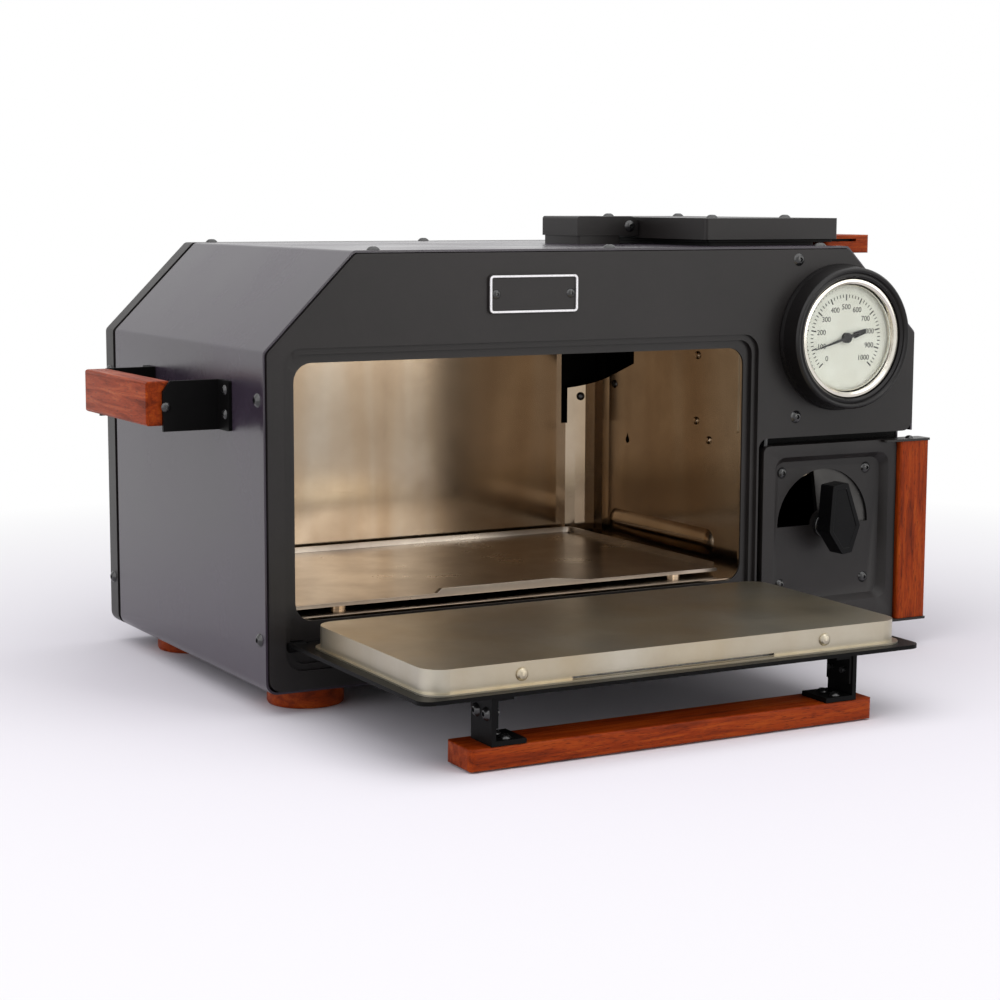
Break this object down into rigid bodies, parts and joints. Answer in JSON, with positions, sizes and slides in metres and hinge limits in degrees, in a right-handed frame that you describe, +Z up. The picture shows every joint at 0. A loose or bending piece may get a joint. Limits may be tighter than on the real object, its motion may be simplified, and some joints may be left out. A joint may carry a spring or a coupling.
{
  "type": "camp oven",
  "caption": "Wood-fired camp oven: a chamfered box with a fold-down baking door and tray, and a firebox with hinged door, air damper, top feed lid and dial gauge.",
  "frame": {"origin": "middle of the object's bounding box in plan, on the surface the feet stand on", "axes": "+X to the right seen from the front, along the width; +Y from the front to the back; +Z up"},
  "size_m": [0.6112, 0.4736, 0.3126],
  "materials": {
    "powder_coat": "fine-textured charcoal powder coat, satin",
    "black_steel": "heat-proof black coat, satin",
    "black_screws": "blackened button-head screws, semi-gloss",
    "stainless": "cold-rolled stainless, faint warm heat tint",
    "grate_iron": "bare cast iron, burnt dark",
    "fibre": "pressed ceramic-fibre blanket",
    "oiled_wood": "reddish-brown hardwood, oiled, satin",
    "knob_black": "black die-cast knob, satin",
    "housing_black": "black turned housing, semi-gloss",
    "bezel_steel": "turned stainless, bright",
    "dial_cream": "cream enamel, matte",
    "pointer_black": "black enamel, matte",
    "gauge_glass": "clear flat glass"
  },
  "bodies": {
    "stove_body": {"front_pan": "powder_coat", "wrapper": "powder_coat", "back_pan": "powder_coat", "rear_frame": "black_steel", "base_pan": "black_steel", "case_screws": "black_screws", "front_screws": "black_screws", "name_plate": "powder_coat", "oven_liner": "stainless", "liner_patch": "stainless", "liner_rivets": "stainless", "duct_screws": "black_screws", "tray_runners": "stainless", "insulation": "fibre", "hinge_brackets": "black_steel", "hinge_rod": "black_steel", "firebox_shell": "black_steel", "firebox_front": "black_steel", "flue_duct": "black_steel", "fire_grate": "grate_iron", "ash_pan": "stainless", "firebox_pins": "black_screws", "feed_collar": "black_steel", "feed_chute": "black_steel", "lid_hinge_block": "powder_coat", "lid_pivot_screw": "black_screws", "gauge_housing": "housing_black", "gauge_bezel": "bezel_steel", "gauge_dial": "dial_cream", "gauge_glass": "gauge_glass", "gauge_stem": "bezel_steel", "left_brackets": "black_steel", "right_brackets": "black_steel", "left_grip": "oiled_wood", "right_grip": "oiled_wood", "handle_screws": "black_screws", "feet": "oiled_wood", "foot_screws": "black_screws"},
    "oven_door": {"door_plate": "black_steel", "door_box": "stainless", "door_filling": "fibre", "door_rivets": "stainless", "plate_angles": "black_steel", "bar_brackets": "black_steel", "bar_bolts": "black_screws", "door_bar": "oiled_wood"},
    "firebox_door": {"firebox_door": "powder_coat", "firebox_door_shield": "stainless", "firebox_door_screws": "black_screws", "firebox_grip": "oiled_wood", "firebox_grip_screws": "black_screws"},
    "damper": {"damper_plate": "stainless", "damper_shaft": "black_screws", "damper_knob": "knob_black"},
    "lid": {"lid_pan": "powder_coat", "lid_plate": "black_steel", "lid_grip": "oiled_wood", "lid_screws": "black_screws"},
    "tray": {"tray": "stainless"},
    "pointer": {"gauge_pointer": "pointer_black"}
  },
  "joints": [
    {"name": "oven_door_hinge", "type": "hinge", "parent": "stove_body", "child": "oven_door", "pos_m": [-0.063, -0.05394, 0.044], "axis": [-1, 0, 0], "range_deg": [0, 90.6]},
    {"name": "firebox_door_hinge", "type": "hinge", "parent": "stove_body", "child": "firebox_door", "pos_m": [0.127, -0.04724, 0.085], "axis": [0, 0, -1], "range_deg": [0, 90]},
    {"name": "damper_turn", "type": "hinge", "parent": "firebox_door", "child": "damper", "pos_m": [0.179, -0.05324, 0.093], "axis": [0, -1, 0], "range_deg": [-90, 90]},
    {"name": "lid_hinge", "type": "hinge", "parent": "stove_body", "child": "lid", "pos_m": [0.0865, 0.09376, 0.304], "axis": [0, -1, 0], "range_deg": [0, 100]},
    {"name": "tray_slide", "type": "slide", "parent": "stove_body", "child": "tray", "axis": [0, 1, 0], "range_m": [-0.15, 0]},
    {"name": "pointer_turn", "type": "hinge", "parent": "stove_body", "child": "pointer", "pos_m": [0.185, -0.06224, 0.227], "axis": [0, 1, 0], "range_deg": [-30, 225]}
  ]
}
